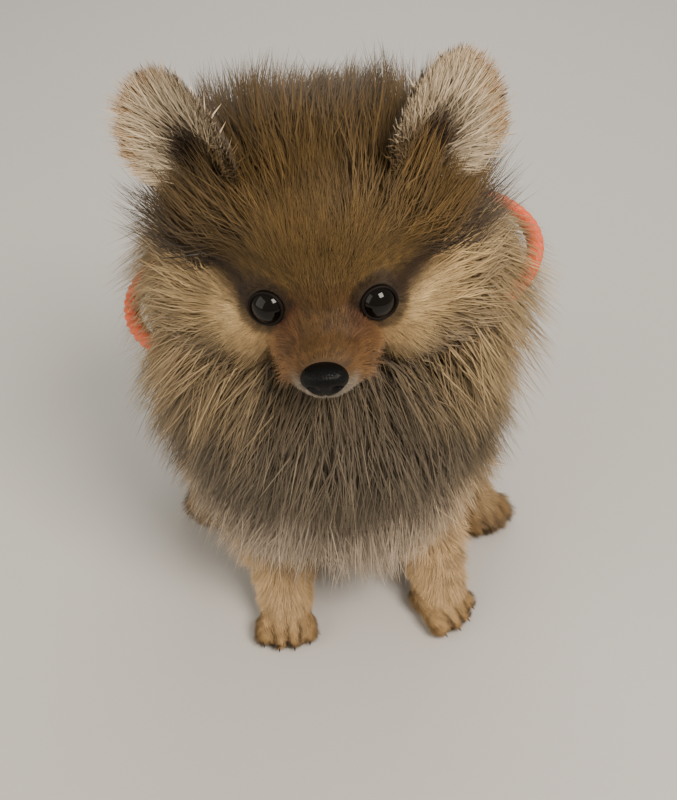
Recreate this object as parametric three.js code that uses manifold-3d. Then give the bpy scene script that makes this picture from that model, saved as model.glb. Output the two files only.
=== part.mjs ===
// A sitting Pomeranian puppy, life size, in millimetres. +Z is up, the face looks towards -Y, and the
// animal's left is towards +X. Each sub-part is one closed solid. Flesh and half the coat's depth make its
// core, and the flat tapered locks of the long coat grow from that core.
import * as THREE from 'three';
import { mergeVertices } from 'three/addons/utils/BufferGeometryUtils.js';
import Module from 'manifold-3d';

const wasm = await Module();
wasm.setup();

const vec = (x, y, z) => new THREE.Vector3(x, y, z);
const degrees = THREE.MathUtils.degToRad;

// Driving dimensions
const GAP = 0.45;                     // space kept between neighbouring pieces
const EYE_LINE = vec(-4.8, -35, 162.5);   // middle of the two eyes
const EYE_SPAN = 33;                  // between the centres of the eyes
const EYE_RADIUS = 6.2;
const EYE_FORWARD = 2.2;
const EYE_TURN = 0.42;                // each eye looks this much outward, in radians
const HEAD_ROLL = degrees(-3.8);      // the crown leans to the animal's right
const HEAD_PITCH = degrees(6);        // the nose is held a little down
const NOSE = vec(0, -26.3, -9.6);
const NOSE_HALF = vec(7.3, 4.6, 5.6);
const MOUTH_WIDE = 14.5;              // half of the mouth, from its middle to a corner
const EAR_BASE = vec(31, 22, 28);
const EAR_TIP = vec(46, 20, 71);
const EAR_WIDE = 20.5;                // half the width of an ear
const EAR_THICK = 3.4;
const EAR_CUP = 8.5;                  // depth of the hollow of an ear
const EAR_TURN = 0.42;                // how far outward an ear looks, for one part forward
const FORE_PAWS = {
  left: { at: vec(41, -33, 0), heading: degrees(48) },
  right: { at: vec(-22, -40, 0), heading: degrees(4) },
};
const HIND_PAWS = {
  left: { at: vec(64, 22, 0), heading: degrees(35) },
  right: { at: vec(-56, 28, 0), heading: degrees(-20) },
};
const FORE_PAW_SIZE = 12.5;
const HIND_PAW_SIZE = 12;
const FORE_GIRTH = { shoulder: 18, wrist: 12 };
const HOCK_BACK = 30;                 // from the hind toes back to the hock
const TAIL_POINTS = [vec(0, 92, 52), vec(0, 108, 74), vec(0, 108, 100), vec(0, 92, 122), vec(-2, 72, 132)];
const ROPE_CENTRE = vec(-3.7, 14, 139);
const ROPE_HALF = { x: 74, y: 40 };   // half the length and width of the loop
const ROPE_RISE = { x: 0.18, y: 0.3 };    // slope of the loop along each axis
const ROPE_RADIUS = 3.0;
const ROPE_LAYS = 18;                 // turns of the strands round the loop
const SEED = 20;
const FINEST = 0.3;                   // facets smaller than this are smoothed over

const sides = [['left', 1], ['right', -1]];

// A seeded draw between low and high
function makeDraw(seed) {
  let state = seed;
  return (low, high) => {
    state = (state + 0x6d2b79f5) | 0;
    let t = Math.imul(state ^ (state >>> 15), 1 | state);
    t = (t + Math.imul(t ^ (t >>> 7), 61 | t)) ^ t;
    return low + (high - low) * (((t ^ (t >>> 14)) >>> 0) / 2 ** 32);
  };
}

// Solids
function solidOf(geometry) {
  const bare = geometry.clone();
  bare.deleteAttribute('normal');
  bare.deleteAttribute('uv');
  const merged = mergeVertices(bare, 1e-4);
  return new wasm.Manifold(new wasm.Mesh({
    numProp: 3,
    vertProperties: new Float32Array(merged.attributes.position.array),
    triVerts: new Uint32Array(merged.index.array),
  }));
}

// The solid of a shape whose faces may point inwards
function solidFacingOut(geometry) {
  const solid = solidOf(geometry);
  if (solid.volume() > 0) return solid;
  const index = geometry.index.array;
  for (let i = 0; i < index.length; i += 3) {
    [index[i + 1], index[i + 2]] = [index[i + 2], index[i + 1]];
  }
  return solidOf(geometry);
}

function geometryOf(solid) {
  const { numProp, vertProperties, triVerts, numVert } = solid.getMesh();
  const position = new Float32Array(numVert * 3);
  for (let i = 0; i < numVert; i++) {
    position.set(vertProperties.subarray(i * numProp, i * numProp + 3), i * 3);
  }
  const geometry = new THREE.BufferGeometry();
  geometry.setAttribute('position', new THREE.BufferAttribute(position, 3));
  geometry.setIndex(new THREE.BufferAttribute(new Uint32Array(triVerts), 1));
  geometry.computeVertexNormals();
  return geometry;
}

const join = (solids) => wasm.Manifold.union(solids);

// The largest closed body of a solid
function largest(solid) {
  const bodies = solid.decompose();
  bodies.sort((a, b) => b.volume() - a.volume());
  return bodies[0];
}

// Distance fields: a body is a smooth blend of egg shapes, negative inside
function egg(centre, radii) {
  return (p) => {
    const x = (p.x - centre.x) / radii.x;
    const y = (p.y - centre.y) / radii.y;
    const z = (p.z - centre.z) / radii.z;
    const near = Math.hypot(x, y, z);
    const slope = Math.hypot(x / radii.x, y / radii.y, z / radii.z);
    return near < 1e-6 ? -Math.min(radii.x, radii.y, radii.z) : (near * (near - 1)) / slope;
  };
}

function blend(fields, softness) {
  return (p) => {
    let low = fields[0](p);
    for (const field of fields.slice(1)) {
      const next = field(p);
      const mix = Math.max(softness - Math.abs(low - next), 0) / softness;
      low = Math.min(low, next) - mix * mix * softness * 0.25;
    }
    return low;
  };
}

// The place where a ray from inside a field first reaches a level
function reach(field, from, direction, level = 0) {
  const stride = 2;
  const farthest = 200;
  let inside = 0;
  let outside = 1;
  const at = (d) => field(from.clone().addScaledVector(direction, d)) - level;
  while (at(outside) < 0 && outside < farthest) {
    inside = outside;
    outside += stride;
  }
  for (let halving = 0; halving < 24; halving++) {
    const middle = (inside + outside) / 2;
    if (at(middle) < 0) inside = middle;
    else outside = middle;
  }
  return from.clone().addScaledVector(direction, inside);
}

function slopeOf(field, p) {
  const step = 0.5;
  const along = (x, y, z) => field(p.clone().add(vec(x, y, z))) - field(p.clone().sub(vec(x, y, z)));
  return vec(along(step, 0, 0), along(0, step, 0), along(0, 0, step)).normalize();
}

// A ball whose vertices are pushed out to a level of a field
function wrapped(field, from, detail, level = 0) {
  const ball = new THREE.IcosahedronGeometry(1, detail);
  const position = ball.attributes.position;
  const direction = vec(0, 0, 0);
  for (let i = 0; i < position.count; i++) {
    direction.fromBufferAttribute(position, i).normalize();
    const p = reach(field, from, direction, level);
    position.setXYZ(i, p.x, p.y, p.z);
  }
  return solidOf(ball);
}

// A ball drawn out along a curve: section(t) gives its half width, half height and upward direction
function drawnOut(curve, section, around, along, twist = 0) {
  const ball = new THREE.SphereGeometry(1, around, along);
  const position = ball.attributes.position;
  const unit = vec(0, 0, 0);
  for (let i = 0; i < position.count; i++) {
    unit.fromBufferAttribute(position, i);
    const t = THREE.MathUtils.clamp(Math.acos(THREE.MathUtils.clamp(unit.y, -1, 1)) / Math.PI, 0, 1);
    const angle = Math.atan2(unit.z, -unit.x) + twist;
    const { wide, high, up } = section(t);
    const forward = curve.getTangent(t);
    const across = forward.clone().cross(up).normalize();
    const over = across.clone().cross(forward).normalize();
    const open = t < 1e-6 || t > 1 - 1e-6 ? 0 : 1;
    const p = curve.getPoint(t);
    p.addScaledVector(across, Math.cos(angle) * wide * open);
    p.addScaledVector(over, Math.sin(angle) * high * open);
    position.setXYZ(i, p.x, p.y, p.z);
  }
  return solidFacingOut(ball);
}

// A cap that closes both ends of a limb: 1 along its middle, rounding off to 0 at each end
const rounded = (t, bluntness) => Math.sqrt(Math.max(1 - (2 * t - 1) ** bluntness, 0));

// One flat tapered lock of hair, its root sunk in the core and a ridge along its middle
const LOCK_SIDES = 3;
const LOCK_STEPS = 4;
const RIDGE_UP = Math.PI / 2;
const LOCK_SINK = 5;
const LOCK_EDGE = 0.3;
const LOCK_FLATNESS = { wide: 0.58, high: 0.17 };     // half width and half height, as shares of the width
function lock({ root, normal, lie, length, width, lift }, grow = 0) {
  const sunk = root.clone().addScaledVector(normal, -LOCK_SINK);
  const start = normal.clone().multiplyScalar(lift).addScaledVector(lie, 1 - lift).normalize();
  const bend = root.clone().addScaledVector(start, length * 0.5).addScaledVector(normal, length * 0.12);
  const tip = root.clone().addScaledVector(start, length * 0.75).addScaledVector(lie, length * 0.32);
  const curve = new THREE.QuadraticBezierCurve3(sunk, bend, tip);
  const section = (t) => {
    const swell = 0.75 + 0.25 * Math.sin(Math.PI * Math.min(t * 1.6, 1));
    const girth = width * Math.sqrt(Math.max(1 - t, 0)) * swell;
    const wide = girth * LOCK_FLATNESS.wide + grow;
    const high = girth * LOCK_FLATNESS.high + LOCK_EDGE + grow;
    return { wide, high, up: normal };
  };
  return drawnOut(curve, section, LOCK_SIDES, LOCK_STEPS, RIDGE_UP);
}

const locksOf = (coatRoots, grow = 0) => coatRoots.map((one) => lock(one, grow));

// Roots spread evenly over a field's surface, kept where keep(p, normal) says so
function spread(field, from, count, keep) {
  const roots = [];
  const goldenTurn = Math.PI * (3 - Math.sqrt(5));
  for (let i = 0; i < count; i++) {
    const z = 1 - (2 * (i + 0.5)) / count;
    const r = Math.sqrt(1 - z * z);
    const direction = vec(Math.cos(i * goldenTurn) * r, Math.sin(i * goldenTurn) * r, z);
    const root = reach(field, from, direction);
    const normal = slopeOf(field, root);
    if (keep(root, normal)) roots.push({ root, normal });
  }
  return roots;
}

// Locks on a field: comb(p) is the lie of the coat there, lengthOf(p) the length
function coat(field, from, count, draw, { keep, comb, lengthOf, width, lift }) {
  return spread(field, from, count, keep).map(({ root, normal }) => {
    const lie = comb(root).clone();
    lie.addScaledVector(normal, -lie.dot(normal)).normalize();
    const aside = normal.clone().cross(lie);
    lie.addScaledVector(aside, draw(-0.25, 0.25)).normalize();
    return {
      root, normal, lie, lift: lift * draw(0.85, 1.15),
      length: lengthOf(root) * draw(0.88, 1.12), width: width * draw(0.85, 1.15),
    };
  });
}

// The floor
const FLOOR_SIZE = 400;
const FLOOR_DEPTH = 60;
const floorBlock = solidOf(
  new THREE.BoxGeometry(FLOOR_SIZE, FLOOR_SIZE, FLOOR_DEPTH).translate(0, 0, -FLOOR_DEPTH / 2),
);
const onFloor = (solid) => solid.subtract(floorBlock);

// Head frame: the origin between the eyes, the face towards -y
const headFrame = new THREE.Group();
headFrame.position.copy(EYE_LINE);
headFrame.rotation.set(HEAD_PITCH, HEAD_ROLL, 0);
headFrame.updateMatrixWorld(true);
const headMatrix = headFrame.matrixWorld.clone();
const headInverse = headMatrix.clone().invert();
const inWorld = (solid) => solid.transform(headMatrix.elements);

// Head forms: skull, brow, two cheeks and a short muzzle
const headField = blend([
  egg(vec(0, 30, 7), vec(40, 37, 33)),
  egg(vec(0, 14, 6), vec(27, 16, 20)),
  egg(vec(24, 17, -12), vec(21, 20, 18)),
  egg(vec(-24, 17, -12), vec(21, 20, 18)),
  egg(vec(0, -3, -11), vec(17, 14, 11.5)),
  egg(vec(0, -14, -13), vec(12.5, 11.5, 9.2)),
], 9);
const HEAD_HEART = vec(0, 12, -1);
const headFieldInWorld = (p) => headField(p.clone().applyMatrix4(headInverse));

const eyeCentre = (side) => vec((side * EYE_SPAN) / 2, -EYE_FORWARD, 0);

function eyeBall(side, grow = 0) {
  const ball = new THREE.SphereGeometry(EYE_RADIUS + grow, 14, 9);
  return solidOf(ball.translate(...eyeCentre(side).toArray()));
}

// Eyelids: a ring of skin round the front of the eye
const LID_RADIUS = 1.5;
function lids(side) {
  const ring = new THREE.TorusGeometry(EYE_RADIUS - 0.1, LID_RADIUS, 6, 14);
  ring.scale(1.02, 0.94, 1);
  ring.rotateX(Math.PI / 2);
  ring.rotateZ(side * EYE_TURN);
  const front = vec(side * Math.sin(EYE_TURN), -Math.cos(EYE_TURN), 0).multiplyScalar(2.2);
  ring.translate(...eyeCentre(side).add(front).toArray());
  return solidOf(ring);
}

// Nose leather, with two nostrils
const NOSTRIL = { apart: 3.6, forward: 4.2, below: 0.6, radius: 1.5 };
function nose(grow = 0) {
  let solid = wrapped(egg(NOSE, NOSE_HALF), NOSE, 2, grow);
  if (grow > 0) return solid;
  for (const [, side] of sides) {
    const hole = new THREE.SphereGeometry(NOSTRIL.radius, 8, 6);
    hole.scale(1.25, 1.6, 0.85);
    hole.translate(NOSE.x + side * NOSTRIL.apart, NOSE.y - NOSTRIL.forward, NOSE.z - NOSTRIL.below);
    solid = solid.subtract(solidOf(hole));
  }
  return solid;
}

// Line of the mouth: a thin curved slot under the nose, running back along both lips
const MOUTH_STEPS = 12;
function mouthLine() {
  const points = [];
  for (let i = 0; i <= MOUTH_STEPS; i++) {
    const s = (2 * i) / MOUTH_STEPS - 1;
    const height = -17.3 - 1.2 * Math.cos(s * Math.PI) + 1.2 * Math.abs(s);
    points.push(vec(MOUTH_WIDE * s, -27 + 21 * s * s, height));
  }
  const slot = () => ({ wide: 3.2, high: 0.45, up: vec(0, 0, 1) });
  return drawnOut(new THREE.CatmullRomCurve3(points), slot, 6, 16);
}

// Head without its coat: lids, and the line of the mouth cut in
function headCore(grow = 0) {
  const head = wrapped(headField, HEAD_HEART, 7, grow);
  return grow > 0 ? head : join([head, lids(1), lids(-1)]).subtract(mouthLine());
}

// An ear's own directions: up its length, across it, and out of its hollow
function earFrame(side) {
  const base = vec(side * EAR_BASE.x, EAR_BASE.y, EAR_BASE.z);
  const up = vec(side * EAR_TIP.x, EAR_TIP.y, EAR_TIP.z).sub(base);
  const tall = up.length();
  up.normalize();
  const face = vec(side * EAR_TURN, -1, 0.1).normalize();
  const across = up.clone().cross(face).normalize();
  const out = across.clone().cross(up).normalize();
  return { base, up, across, out, tall };
}

// Ears: cupped shells that face forward and outward
const EAR_SUNK = 3;
function ear(side, grow = 0) {
  const { base, up, across, out, tall } = earFrame(side);
  const shell = new THREE.SphereGeometry(1, 12, 8);
  const position = shell.attributes.position;
  const unit = vec(0, 0, 0);
  for (let i = 0; i < position.count; i++) {
    unit.fromBufferAttribute(position, i);
    const rise = (unit.y + 1) / 2;
    const cup = EAR_CUP * unit.x ** 2 * (1 - 0.3 * rise) - 2.5 * rise;
    const p = base.clone();
    p.addScaledVector(up, rise * tall + unit.y * grow - EAR_SUNK);
    p.addScaledVector(across, unit.x * (EAR_WIDE + grow) * (0.84 + 0.16 * Math.sin(Math.PI * rise)));
    p.addScaledVector(out, cup + unit.z * (EAR_THICK / 2 + grow) * 1.2);
    position.setXYZ(i, p.x, p.y, p.z);
  }
  return solidFacingOut(shell);
}

// Fringe of hair round an ear's rim
const FRINGE_LOCKS = 9;
function earFringe(side, draw) {
  const { base, up, across, out } = earFrame(side);
  const centre = base.clone().addScaledVector(up, 17).addScaledVector(out, 4);
  const fringe = [];
  for (let i = 0; i < FRINGE_LOCKS; i++) {
    const turn = degrees(-26 + i * 29);
    const radial = across.clone().multiplyScalar(Math.cos(turn)).addScaledVector(up, Math.sin(turn));
    const root = centre.clone().addScaledVector(across, Math.cos(turn) * (EAR_WIDE - 3));
    root.addScaledVector(up, Math.sin(turn) * 15.5);
    root.addScaledVector(out, Math.cos(turn) ** 2 * 3.2 - 1.5);
    const lie = radial.clone().addScaledVector(up, 0.35).addScaledVector(out, draw(-0.25, 0.1)).normalize();
    fringe.push({ root, normal: radial, lie, lift: 0.4, length: draw(9, 12), width: draw(7, 8.5) });
  }
  return fringe;
}

// Trunk forms
const neckField = blend([
  egg(vec(-4, 10, 134), vec(52, 38, 34)),
  egg(vec(-1, -16, 108), vec(50, 32, 38)),
], 16);
const NECK_HEART = vec(-3, 0, 124);

const torsoField = blend([
  egg(vec(1, -6, 78), vec(52, 42, 40)),
  egg(vec(-1, 16, 78), vec(58, 44, 48)),
  egg(vec(0, 50, 66), vec(56, 44, 48)),
  egg(vec(1, 66, 38), vec(52, 38, 43)),
], 18);
const TORSO_HEART = vec(0, 34, 66);

const thighCentre = (side) => vec(side * 47, 52, 36);
const thighField = (side) => blend([
  egg(thighCentre(side), vec(24, 31, 33)),
  egg(vec(side * 53, 36, 20), vec(17, 20, 17)),
], 10);

// Head coat: the crown and cheeks, combed away from the face and clear of the ears
const { smoothstep } = THREE.MathUtils;
const EAR_CLEARANCE = 14;
const FACE_RADIUS = 30;
const headCoat = coat(headField, HEAD_HEART, 84, makeDraw(SEED), {
  keep: (p) => {
    const besideEar = Math.hypot(Math.abs(p.x) - EAR_BASE.x - 2, p.y - EAR_BASE.y, p.z - EAR_BASE.z - 4);
    const onFace = Math.hypot(p.x, p.z + 4) < FACE_RADIUS && p.y < 12;
    const underJaw = p.z < -27;
    const free = neckField(p.clone().applyMatrix4(headMatrix)) > 2;
    return !underJaw && besideEar >= EAR_CLEARANCE && !onFace && free;
  },
  comb: (p) => vec(p.x * 1.1, 14, p.z > 0 ? p.z * 0.45 : p.z * 0.9),
  lengthOf: (p) => 24 + 5 * smoothstep(Math.abs(p.x), 15, 35),
  width: 21,
  lift: 0.45,
});

// Ruff: the thick collar of long hair round the neck and over the chest
const ruff = coat(neckField, NECK_HEART, 76, makeDraw(SEED + 1), {
  keep: (p, n) => Math.abs(n.z) < 0.8 && headFieldInWorld(p) > 4 && torsoField(p) > -10,
  comb: (p) => vec(p.x * 0.5, p.y > 25 ? 12 : -6, -20),
  lengthOf: (p) => 30 + 4 * smoothstep(-p.y, 0, 30),
  width: 26,
  lift: 0.46,
});

// Body coat: down and forward over the chest, down and back over the sides
const bodyCoat = coat(torsoField, TORSO_HEART, 86, makeDraw(SEED + 2), {
  keep: (p) => p.z > 22 && neckField(p) > 2 && thighField(1)(p) > 2 && thighField(-1)(p) > 2,
  comb: (p) => (p.y < 0 ? vec(p.x * 0.3, -5, -25) : vec(p.x * 0.35, 14, -22)),
  lengthOf: (p) => 30 - 8 * smoothstep(34 - p.z, 0, 20),
  width: 27,
  lift: 0.44,
});

const breeches = (side) => coat(thighField(side), thighCentre(side), 28, makeDraw(SEED + 7), {
  keep: (p) => side * p.x > 52 && p.z > 12 && p.y > 25,
  comb: () => vec(0, 14, -18),
  lengthOf: (p) => 20 - 5 * smoothstep(30 - p.z, 0, 20),
  width: 22,
  lift: 0.38,
});

// A paw: four toes in an arc in front of the pad, each ending in a claw
function paw({ at, heading }, size, grow = 0) {
  const forward = vec(Math.sin(heading), -Math.cos(heading), 0);
  const across = vec(Math.cos(heading), Math.sin(heading), 0);
  const spot = (ahead, aside, height) => (
    at.clone().addScaledVector(forward, ahead).addScaledVector(across, aside).setZ(height)
  );
  const pad = egg(spot(-2, 0, 6), vec(size * 0.82, size * 0.82, 9));
  const pieces = [wrapped(pad, spot(-2, 0, 6), 1, grow)];
  for (const toe of [-1.5, -0.5, 0.5, 1.5]) {
    const far = size * (1.02 - 0.11 * toe * toe);
    const aside = toe * size;
    const end = far * 1.05;
    const toeLine = new THREE.QuadraticBezierCurve3(
      spot(0, aside * 0.3, 7),
      spot(far * 0.55, aside * 0.44, 9),
      spot(end, aside * 0.5, 1.6),
    );
    const toeSection = (t) => {
      const girth = size * 0.3 * rounded(t, 6);
      return { wide: girth + grow, high: girth * 1.05 + grow, up: vec(0, 0, 1) };
    };
    pieces.push(drawnOut(toeLine, toeSection, 6, 5));
    const clawLine = new THREE.QuadraticBezierCurve3(
      spot(end, aside * 0.5, 3.4),
      spot(end + 2.6, aside * 0.5, 3.6),
      spot(end + 4.2, aside * 0.5, 0.9),
    );
    const clawSection = (t) => {
      const taper = 1 - t * 0.8;
      return { wide: 0.95 * taper + grow, high: 1.1 * taper + grow, up: vec(0, 0, 1) };
    };
    pieces.push(drawnOut(clawLine, clawSection, 4, 3));
  }
  return pieces;
}

function foreLeg(name, side, grow = 0) {
  const stance = FORE_PAWS[name];
  const { at } = stance;
  const shoulder = vec(side * 24, -6, 74);
  const wrist = vec(at.x + (shoulder.x - at.x) * 0.12, at.y + 9, 17);
  const elbow = shoulder.clone().lerp(wrist, 0.45).add(vec(side * 2, 3, 0));
  const curve = new THREE.CatmullRomCurve3([shoulder, elbow, wrist, vec(at.x, at.y + 4, 5)]);
  const section = (t) => {
    const girth = THREE.MathUtils.lerp(FORE_GIRTH.shoulder, FORE_GIRTH.wrist, smoothstep(t, 0, 0.62));
    const cap = rounded(t, 10);
    return { wide: girth * cap + grow, high: girth * 0.96 * cap + grow, up: vec(0, -1, 0) };
  };
  return join([drawnOut(curve, section, 9, 7), ...paw(stance, FORE_PAW_SIZE, grow)]);
}

function hindFoot(name, grow = 0) {
  const stance = HIND_PAWS[name];
  const { at, heading } = stance;
  const hock = vec(at.x - HOCK_BACK * Math.sin(heading), at.y + HOCK_BACK * Math.cos(heading), 11);
  const instep = hock.clone().lerp(at, 0.5).setZ(9);
  const curve = new THREE.CatmullRomCurve3([hock, instep, vec(at.x, at.y, 7)]);
  const section = (t) => {
    const cap = rounded(t, 8);
    return { wide: 10 * cap + grow, high: 9 * cap + grow, up: vec(0, 0, 1) };
  };
  return join([drawnOut(curve, section, 8, 6), ...paw(stance, HIND_PAW_SIZE, grow)]);
}

// Tail: set on the rump and carried up over the back
const tailCurve = new THREE.CatmullRomCurve3(TAIL_POINTS);
const TAIL_UP = vec(0, 1, 0.6);
function tailCore(grow = 0) {
  const section = (t) => {
    const girth = (1 - 0.35 * t) * rounded(t, 8);
    return { wide: 11 * girth + grow, high: 9.5 * girth + grow, up: TAIL_UP };
  };
  return drawnOut(tailCurve, section, 9, 12);
}

// Plume: locks set along the tail, fanned out to both sides and over its end
const PLUME_ROWS = 6;
function plume(draw) {
  const locks = [];
  for (let i = 0; i < PLUME_ROWS; i++) {
    const t = 0.2 + 0.14 * i;
    for (const turn of [-1, 0, 1]) {
      const forward = tailCurve.getTangent(t);
      const across = forward.clone().cross(TAIL_UP).normalize();
      const back = across.clone().cross(forward).normalize();
      const normal = across.clone().multiplyScalar(turn * 0.85);
      normal.addScaledVector(back, 1 - 0.45 * Math.abs(turn)).normalize();
      const root = tailCurve.getPoint(t).addScaledVector(normal, 7.5 * (1 - 0.3 * t));
      const lie = forward.clone().multiplyScalar(0.9).addScaledVector(normal, 0.3).normalize();
      locks.push({ root, normal, lie, lift: 0.5, length: (26 + 8 * t) * draw(0.9, 1.1), width: 20 });
    }
  }
  return locks;
}

// Rope collar: three strands laid round a loose oval loop
class RopeLoop extends THREE.Curve {
  getPoint(t, target = new THREE.Vector3()) {
    const x = ROPE_HALF.x * Math.cos(t * 2 * Math.PI);
    const y = ROPE_HALF.y * Math.sin(t * 2 * Math.PI);
    return target.set(x, y, ROPE_RISE.x * x + ROPE_RISE.y * y).add(ROPE_CENTRE);
  }
}

function rope(grow = 0) {
  const loop = new RopeLoop();
  const ring = new THREE.TorusGeometry(1, 0.1, 7, 42);
  const position = ring.attributes.position;
  const p = vec(0, 0, 0);
  for (let i = 0; i < position.count; i++) {
    p.fromBufferAttribute(position, i);
    const turn = Math.atan2(p.y, p.x);
    const around = Math.atan2(p.z, Math.hypot(p.x, p.y) - 1);
    const strands = 1 + 0.09 * Math.cos(3 * around + ROPE_LAYS * turn);
    const girth = grow > 0 ? (ROPE_RADIUS + grow * 1.2) * 1.1 : ROPE_RADIUS * strands;
    const t = (turn / (2 * Math.PI) + 1) % 1;
    const side = loop.getTangent(t).cross(vec(0, 0, 1)).normalize();
    const over = side.clone().cross(loop.getTangent(t)).normalize();
    const at = loop.getPoint(t);
    at.addScaledVector(side, Math.cos(around) * girth).addScaledVector(over, Math.sin(around) * girth);
    position.setXYZ(i, at.x, at.y, at.z);
  }
  return solidOf(ring);
}

// The pieces, each a core with or without locks. A core is cut clear of the cores before it in this list, and
// locks are cut clear of every other core and of the locks before them.
const bare = () => [];
const drawEar = makeDraw(SEED + 3);
const inHead = (core, locks) => ({
  core: (grow) => inWorld(core(grow)),
  locks: (grow) => locksOf(locks, grow).map(inWorld),
});
const tailPlume = plume(makeDraw(SEED + 5));
const pieces = [
  { name: 'collar', core: rope, locks: bare },
  { name: 'nose', ...inHead(nose, []) },
  ...sides.map(([name, side]) => ({ name: `eye_${name}`, ...inHead((grow) => eyeBall(side, grow), []) })),
  ...sides.map(([name, side]) => (
    { name: `ear_${name}`, ...inHead((grow) => ear(side, grow), earFringe(side, drawEar)) }
  )),
  { name: 'head', ...inHead(headCore, headCoat) },
  {
    name: 'neck',
    core: (grow) => wrapped(neckField, NECK_HEART, 5, grow),
    locks: (grow) => locksOf(ruff, grow),
  },
  {
    name: 'torso',
    core: (grow) => onFloor(wrapped(torsoField, TORSO_HEART, 5, grow)),
    locks: (grow) => locksOf(bodyCoat, grow),
  },
  ...sides.map(([name]) => (
    { name: `hind_foot_${name}`, core: (grow) => hindFoot(name, grow), locks: bare }
  )),
  ...sides.map(([name, side]) => ({
    name: `thigh_${name}`,
    core: (grow) => wrapped(thighField(side), thighCentre(side), 3, grow),
    locks: (grow) => locksOf(breeches(side), grow),
  })),
  ...sides.map(([name, side]) => (
    { name: `foreleg_${name}`, core: (grow) => foreLeg(name, side, grow), locks: bare }
  )),
  { name: 'tail', core: tailCore, locks: (grow) => locksOf(tailPlume, grow) },
];

const without = (solid, rooms) => rooms.reduce((left, room) => left.subtract(room), solid);
const coreRooms = pieces.map((piece) => piece.core(GAP));
const lockRooms = [];
const solids = pieces.map((piece, i) => {
  const core = without(piece.core(0), coreRooms.slice(0, i));
  const others = [...coreRooms.slice(0, i), ...coreRooms.slice(i + 1), ...lockRooms];
  const locks = piece.locks(0);
  if (locks.length > 0) lockRooms.push(join(piece.locks(GAP)));
  const whole = locks.length > 0 ? join([core, without(join(locks), others)]) : core;
  return largest(largest(onFloor(whole)).simplify(FINEST));
});

// Materials
const finish = (color, roughness) => new THREE.MeshStandardMaterial({ color, roughness, metalness: 0 });
const finishes = {
  sable: finish(0x8a6c48, 0.9),
  grey: finish(0x7f7365, 0.95),
  tan: finish(0xb08a5a, 0.9),
  cream: finish(0xc6ab86, 0.9),
  eye: finish(0x0c0806, 0.08),
  leather: finish(0x15130f, 0.4),
  rope: finish(0xf2683a, 0.7),
};
const finishOf = {
  head: 'sable', tail: 'sable', ear: 'cream', neck: 'grey', torso: 'grey', thigh: 'grey',
  foreleg: 'tan', hind: 'tan', eye: 'eye', nose: 'leather', collar: 'rope',
};

const dog = new THREE.Group();
dog.name = 'pomeranian_puppy';
pieces.forEach(({ name }, i) => {
  const kind = finishOf[name.split('_')[0]];
  const mesh = new THREE.Mesh(geometryOf(solids[i]), finishes[kind]);
  mesh.name = name;
  dog.add(mesh);
});

// The origin is put under the middle of the whole
const box = new THREE.Box3().setFromObject(dog, true);
const middle = box.getCenter(vec(0, 0, 0));
dog.position.set(-middle.x, -middle.y, -box.min.z);

export default dog;
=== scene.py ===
from math import cos, pi, radians, sin

import bpy
import numpy as np
from mathutils import Matrix, Vector, kdtree


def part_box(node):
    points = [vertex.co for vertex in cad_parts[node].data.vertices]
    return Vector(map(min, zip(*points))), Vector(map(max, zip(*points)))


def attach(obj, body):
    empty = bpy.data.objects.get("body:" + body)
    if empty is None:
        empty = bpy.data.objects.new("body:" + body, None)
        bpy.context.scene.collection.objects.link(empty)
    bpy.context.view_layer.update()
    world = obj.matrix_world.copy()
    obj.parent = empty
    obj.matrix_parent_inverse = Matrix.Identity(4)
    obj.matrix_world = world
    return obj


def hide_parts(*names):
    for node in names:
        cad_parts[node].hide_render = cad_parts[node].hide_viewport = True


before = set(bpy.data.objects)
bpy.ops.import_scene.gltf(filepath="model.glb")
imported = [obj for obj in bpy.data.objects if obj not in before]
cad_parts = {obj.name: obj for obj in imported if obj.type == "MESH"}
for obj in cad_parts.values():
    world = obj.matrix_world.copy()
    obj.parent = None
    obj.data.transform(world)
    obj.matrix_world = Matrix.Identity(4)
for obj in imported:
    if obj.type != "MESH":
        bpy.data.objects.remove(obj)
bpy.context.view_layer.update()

# Places are in the maker's own millimetres: +Z up, the face towards -Y, the animal's left towards +X.
# The pair of packed eyes says where that frame lies in the row's frame.
MM = 0.001
EYE_LINE = Vector((-4.8, -35, 162.5))
EYE_SPAN = 33
EYE_FORWARD = 2.2
EYE_RADIUS = 6.2
EYE_LEAN = 0.32
EYE_LIFT = 0.3
HEAD_TURN = Matrix.Rotation(radians(6), 3, "X") @ Matrix.Rotation(radians(-3.8), 3, "Y")
NOSE = Vector((0, -26.3, -9.6))
EAR_BASE = Vector((31, 22, 28))
EAR_TIP = Vector((46, 20, 71))
EAR_HALF = 15.5
EAR_HAIR_WIDE = 20.5
EAR_SUNK = 3
EAR_CUP = 8.5
EAR_HALF_THICK = 1.4
FORE_PAWS = {1: (Vector((41, -33, 0)), radians(48)), -1: (Vector((-22, -40, 0)), radians(4))}
HIND_PAWS = {1: (Vector((64, 22, 0)), radians(35)), -1: (Vector((-56, 28, 0)), radians(-20))}
FORE_PAW_SIZE = 12.5
HIND_PAW_SIZE = 12
TOES = (-1.5, -0.5, 0.5, 1.5)
TOE_BALLS = ((0.35, 6.6, 3.8), (0.64, 6.6, 3.7), (0.92, 4.4, 3.4))
TAIL_POINTS = [(0, 92, 52), (0, 108, 74), (0, 108, 100), (0, 92, 122), (-2, 72, 132)]
MOUTH_HALF = 13.5
MOUTH_FRONT = -28.5
MOUTH_DEEP = 20
MOUTH_HEIGHT = -17
MOUTH_BOW = 0.8
ROPE_CENTRE = Vector((-3.7, 14, 139))
ROPE_HALF = (74, 40)
ROPE_RISE = (0.18, 0.3)
SEED = 7


def box_middle(node):
    low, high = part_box(node)
    return (Vector(low) + Vector(high)) / 2


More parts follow.
